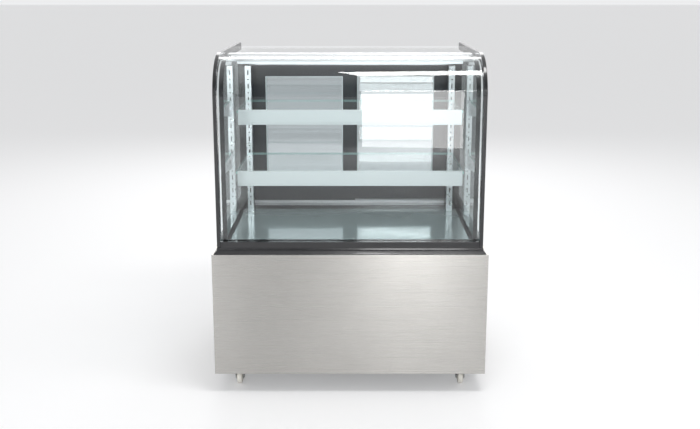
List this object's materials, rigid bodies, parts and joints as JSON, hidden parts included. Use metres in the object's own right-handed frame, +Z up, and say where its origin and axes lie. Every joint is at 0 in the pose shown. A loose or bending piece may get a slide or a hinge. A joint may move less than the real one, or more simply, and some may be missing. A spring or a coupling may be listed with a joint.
{
  "type": "glass display showcase",
  "caption": "Floor-standing chilled glass display showcase with a bent front pane, glass shelves, rear sliding doors and a steel machine base on casters.",
  "frame": {"origin": "on the floor, below the middle of the machine base", "axes": "+X to the right seen from the customer side, +Y back to the service side, +Z up"},
  "size_m": [0.9, 0.68, 1.126],
  "materials": {
    "stainless": "vertical brushed satin",
    "galvanised_sheet": "satin zinc grey",
    "black_paint": "gloss black powder coat",
    "door_frame_black": "satin black",
    "clear_glass": "clear polished",
    "door_glass": "clear polished",
    "shelf_glass": "clear polished, green edge",
    "pale_strip": "pale silver satin",
    "zinc_plated": "bright zinc",
    "aluminium_rail": "satin anodised",
    "lamp_cover": "opal",
    "deck_steel": "polished",
    "foam_slab": "satin",
    "seal_rubber": "satin",
    "caster_chrome": "bright",
    "caster_wheel": "satin",
    "compressor_black": "semi gloss",
    "fin_aluminium": "matt",
    "fan_plastic": "satin",
    "motor_steel": "satin",
    "copper_pipe": "satin copper",
    "control_plastic": "satin black",
    "rocker_plastic": "gloss"
  },
  "bodies": {
    "cabinet": {"base_frame": "galvanised_sheet", "base_pan": "galvanised_sheet", "caster_plates": "galvanised_sheet", "compressor": "compressor_black", "condenser_coil": "fin_aluminium", "condenser_shroud": "fan_plastic", "cord_gland": "control_plastic", "deck_gaskets": "seal_rubber", "deck_plate": "deck_steel", "door_tracks": "aluminium_rail", "end_frame_left": "black_paint", "end_frame_right": "black_paint", "evaporator_coil": "fin_aluminium", "fan_motor": "motor_steel", "front_air_grille": "deck_steel", "front_bottom_rail": "black_paint", "front_glass": "clear_glass", "front_panel": "stainless", "insulated_deck": "foam_slab", "lower_shelf_glass": "shelf_glass", "lower_shelf_strip": "pale_strip", "plinth_trim": "black_paint", "rear_apron": "galvanised_sheet", "rear_jambs": "black_paint", "rear_louvre_panel": "galvanised_sheet", "rear_sill_and_header": "black_paint", "refrigerant_lines": "copper_pipe", "shelf_brackets": "zinc_plated", "shelf_lights": "lamp_cover", "shelf_standards": "zinc_plated", "side_glass_left": "clear_glass", "side_glass_right": "clear_glass", "side_panel_left": "stainless", "side_panel_right": "stainless", "switch_housing": "control_plastic", "temperature_controller": "control_plastic", "top_joint_rail": "aluminium_rail", "top_light": "lamp_cover", "top_panel": "clear_glass", "upper_shelf_glass": "shelf_glass", "upper_shelf_strip": "pale_strip"},
    "left_door": {"left_door_frame": "door_frame_black", "left_door_glass": "door_glass", "left_door_fittings": "door_frame_black"},
    "right_door": {"right_door_frame": "door_frame_black", "right_door_glass": "door_glass", "right_door_fittings": "door_frame_black"},
    "caster_front_left": {"fork_front_left": "caster_chrome"},
    "wheel_front_left": {"wheel_front_left": "caster_wheel"},
    "pedal_front_left": {"pedal_front_left": "caster_chrome"},
    "caster_rear_left": {"fork_rear_left": "caster_chrome"},
    "wheel_rear_left": {"wheel_rear_left": "caster_wheel"},
    "caster_front_right": {"fork_front_right": "caster_chrome"},
    "wheel_front_right": {"wheel_front_right": "caster_wheel"},
    "pedal_front_right": {"pedal_front_right": "caster_chrome"},
    "caster_rear_right": {"fork_rear_right": "caster_chrome"},
    "wheel_rear_right": {"wheel_rear_right": "caster_wheel"},
    "condenser_fan": {"condenser_fan": "fan_plastic"},
    "evaporator_fan": {"evaporator_fan": "fan_plastic"},
    "power_rocker": {"power_rocker": "rocker_plastic"}
  },
  "joints": [
    {"name": "left_door_slide", "type": "slide", "parent": "cabinet", "child": "left_door", "axis": [1, 0, 0], "range_m": [0, 0.364]},
    {"name": "right_door_slide", "type": "slide", "parent": "cabinet", "child": "right_door", "axis": [1, 0, 0], "range_m": [-0.364, 0]},
    {"name": "swivel_front_left", "type": "hinge", "parent": "cabinet", "child": "caster_front_left", "pos_m": [-0.377, -0.285, 0.06], "axis": [0, 0, 1], "continuous": true},
    {"name": "roll_front_left", "type": "hinge", "parent": "caster_front_left", "child": "wheel_front_left", "pos_m": [-0.377, -0.265, 0.025], "axis": [1, 0, 0], "continuous": true},
    {"name": "brake_front_left", "type": "hinge", "parent": "caster_front_left", "child": "pedal_front_left", "pos_m": [-0.377, -0.244, 0.0514], "axis": [1, 0, 0], "range_deg": [-18, 0]},
    {"name": "swivel_rear_left", "type": "hinge", "parent": "cabinet", "child": "caster_rear_left", "pos_m": [-0.377, 0.265, 0.06], "axis": [0, 0, 1], "continuous": true},
    {"name": "roll_rear_left", "type": "hinge", "parent": "caster_rear_left", "child": "wheel_rear_left", "pos_m": [-0.377, 0.285, 0.025], "axis": [1, 0, 0], "continuous": true},
    {"name": "swivel_front_right", "type": "hinge", "parent": "cabinet", "child": "caster_front_right", "pos_m": [0.377, -0.285, 0.06], "axis": [0, 0, 1], "continuous": true},
    {"name": "roll_front_right", "type": "hinge", "parent": "caster_front_right", "child": "wheel_front_right", "pos_m": [0.377, -0.265, 0.025], "axis": [1, 0, 0], "continuous": true},
    {"name": "brake_front_right", "type": "hinge", "parent": "caster_front_right", "child": "pedal_front_right", "pos_m": [0.377, -0.244, 0.0514], "axis": [1, 0, 0], "range_deg": [-18, 0]},
    {"name": "swivel_rear_right", "type": "hinge", "parent": "cabinet", "child": "caster_rear_right", "pos_m": [0.377, 0.265, 0.06], "axis": [0, 0, 1], "continuous": true},
    {"name": "roll_rear_right", "type": "hinge", "parent": "caster_rear_right", "child": "wheel_rear_right", "pos_m": [0.377, 0.285, 0.025], "axis": [1, 0, 0], "continuous": true},
    {"name": "condenser_fan_spin", "type": "hinge", "parent": "cabinet", "child": "condenser_fan", "pos_m": [0.06, 0.2605, 0.201], "axis": [0, 1, 0], "continuous": true},
    {"name": "evaporator_fan_spin", "type": "hinge", "parent": "cabinet", "child": "evaporator_fan", "pos_m": [-0.265, 0.1, 0.46], "axis": [0, 0, 1], "continuous": true},
    {"name": "power_rocker_tilt", "type": "hinge", "parent": "cabinet", "child": "power_rocker", "pos_m": [0.12, 0.3295, 0.4], "axis": [1, 0, 0], "range_deg": [-16, 0]}
  ]
}
